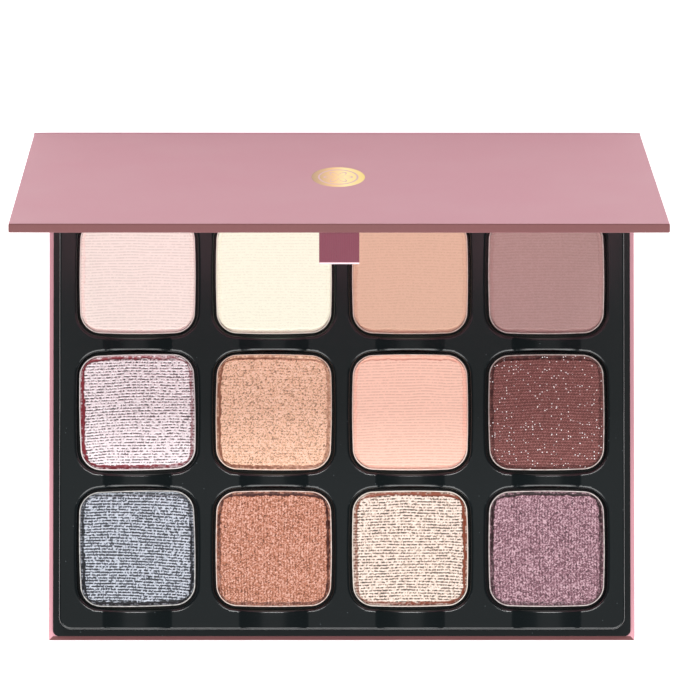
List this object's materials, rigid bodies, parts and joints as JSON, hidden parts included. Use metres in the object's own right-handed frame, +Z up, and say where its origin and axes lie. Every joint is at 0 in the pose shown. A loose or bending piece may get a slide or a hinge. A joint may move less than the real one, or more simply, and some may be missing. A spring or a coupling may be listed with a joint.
{
  "type": "eyeshadow palette",
  "caption": "Slim book-style eyeshadow palette: a paper-wrapped folding cover with a ribbon tab over a black tray of square lift-out powder pans.",
  "frame": {"origin": "centre of the base panel's underside, on the table", "axes": "+Z up, +Y towards the spine, -Y towards the edge that opens, +X to the right of the person using it"},
  "size_m": [0.1414, 0.1186, 0.1146],
  "materials": {
    "greyboard": "raw paperboard core",
    "pink_wrap": "matt laminated wrapping paper",
    "lining_paper": "matt lining paper",
    "adhesive": "double-sided bonding sheet",
    "magnetic_rubber": "flexible magnetic sheet",
    "magnet": "plain sintered magnet",
    "black_tray": "satin moulded plastic",
    "gold_foil": "hot stamped foil",
    "plum_ribbon": "satin ribbon",
    "pan_tin": "drawn tinplate",
    "shade_r1c1": "pressed powder, pale pink matte",
    "shade_r1c2": "pressed powder, ivory matte",
    "shade_r1c3": "pressed powder, peach beige satin",
    "shade_r1c4": "pressed powder, mauve taupe matte",
    "shade_r2c1": "pressed powder, icy pink shimmer",
    "shade_r2c2": "pressed powder, champagne satin",
    "shade_r2c3": "pressed powder, coral peach matte",
    "shade_r2c4": "pressed powder, burgundy brown with glitter",
    "shade_r3c1": "pressed powder, blue grey metallic",
    "shade_r3c2": "pressed powder, copper rose shimmer",
    "shade_r3c3": "pressed powder, champagne gold metallic",
    "shade_r3c4": "pressed powder, mauve shimmer"
  },
  "bodies": {
    "base": {"base_board": "greyboard", "base_wrap": "pink_wrap", "bonding_sheet": "adhesive", "pan_magnet_sheet": "magnetic_rubber", "base_magnets": "magnet", "tray": "black_tray"},
    "spine": {"spine_board": "greyboard", "spine_wrap": "pink_wrap", "spine_lining": "lining_paper"},
    "lid": {"lid_board": "greyboard", "lid_wrap": "pink_wrap", "lid_lining": "lining_paper", "lid_magnets": "magnet", "foil_seal": "gold_foil", "tab_anchor": "plum_ribbon"},
    "tab": {"pull_tab": "plum_ribbon"},
    "pan_r3c1": {"pan_r3c1": "pan_tin", "powder_r3c1": "shade_r3c1"},
    "pan_r3c2": {"pan_r3c2": "pan_tin", "powder_r3c2": "shade_r3c2"},
    "pan_r3c3": {"pan_r3c3": "pan_tin", "powder_r3c3": "shade_r3c3"},
    "pan_r3c4": {"pan_r3c4": "pan_tin", "powder_r3c4": "shade_r3c4"},
    "pan_r2c1": {"pan_r2c1": "pan_tin", "powder_r2c1": "shade_r2c1"},
    "pan_r2c2": {"pan_r2c2": "pan_tin", "powder_r2c2": "shade_r2c2"},
    "pan_r2c3": {"pan_r2c3": "pan_tin", "powder_r2c3": "shade_r2c3"},
    "pan_r2c4": {"pan_r2c4": "pan_tin", "powder_r2c4": "shade_r2c4"},
    "pan_r1c1": {"pan_r1c1": "pan_tin", "powder_r1c1": "shade_r1c1"},
    "pan_r1c2": {"pan_r1c2": "pan_tin", "powder_r1c2": "shade_r1c2"},
    "pan_r1c3": {"pan_r1c3": "pan_tin", "powder_r1c3": "shade_r1c3"},
    "pan_r1c4": {"pan_r1c4": "pan_tin", "powder_r1c4": "shade_r1c4"}
  },
  "joints": [
    {"name": "cover_spine_crease", "type": "hinge", "parent": "base", "child": "spine", "pos_m": [0, 0.0554, 0.0001], "axis": [-1, 0, 0], "range_deg": [-54, 36]},
    {"name": "cover_lid_crease", "type": "hinge", "parent": "spine", "child": "lid", "pos_m": [0, 0.06535, 0.00733], "axis": [-1, 0, 0], "range_deg": [-21.65, 68.35]},
    {"name": "pull_tab_bend", "type": "hinge", "parent": "lid", "child": "tab", "pos_m": [-0.0011, 0.03604, 0.11301], "axis": [-1, 0, 0], "range_deg": [0, 90]},
    {"name": "pan_lift_r1c1", "type": "slide", "parent": "base", "child": "pan_r1c1", "axis": [0, 0, 1], "range_m": [0, 0.012]},
    {"name": "pan_lift_r1c2", "type": "slide", "parent": "base", "child": "pan_r1c2", "axis": [0, 0, 1], "range_m": [0, 0.012]},
    {"name": "pan_lift_r1c3", "type": "slide", "parent": "base", "child": "pan_r1c3", "axis": [0, 0, 1], "range_m": [0, 0.012]},
    {"name": "pan_lift_r1c4", "type": "slide", "parent": "base", "child": "pan_r1c4", "axis": [0, 0, 1], "range_m": [0, 0.012]},
    {"name": "pan_lift_r2c1", "type": "slide", "parent": "base", "child": "pan_r2c1", "axis": [0, 0, 1], "range_m": [0, 0.012]},
    {"name": "pan_lift_r2c2", "type": "slide", "parent": "base", "child": "pan_r2c2", "axis": [0, 0, 1], "range_m": [0, 0.012]},
    {"name": "pan_lift_r2c3", "type": "slide", "parent": "base", "child": "pan_r2c3", "axis": [0, 0, 1], "range_m": [0, 0.012]},
    {"name": "pan_lift_r2c4", "type": "slide", "parent": "base", "child": "pan_r2c4", "axis": [0, 0, 1], "range_m": [0, 0.012]},
    {"name": "pan_lift_r3c1", "type": "slide", "parent": "base", "child": "pan_r3c1", "axis": [0, 0, 1], "range_m": [0, 0.012]},
    {"name": "pan_lift_r3c2", "type": "slide", "parent": "base", "child": "pan_r3c2", "axis": [0, 0, 1], "range_m": [0, 0.012]},
    {"name": "pan_lift_r3c3", "type": "slide", "parent": "base", "child": "pan_r3c3", "axis": [0, 0, 1], "range_m": [0, 0.012]},
    {"name": "pan_lift_r3c4", "type": "slide", "parent": "base", "child": "pan_r3c4", "axis": [0, 0, 1], "range_m": [0, 0.012]}
  ]
}
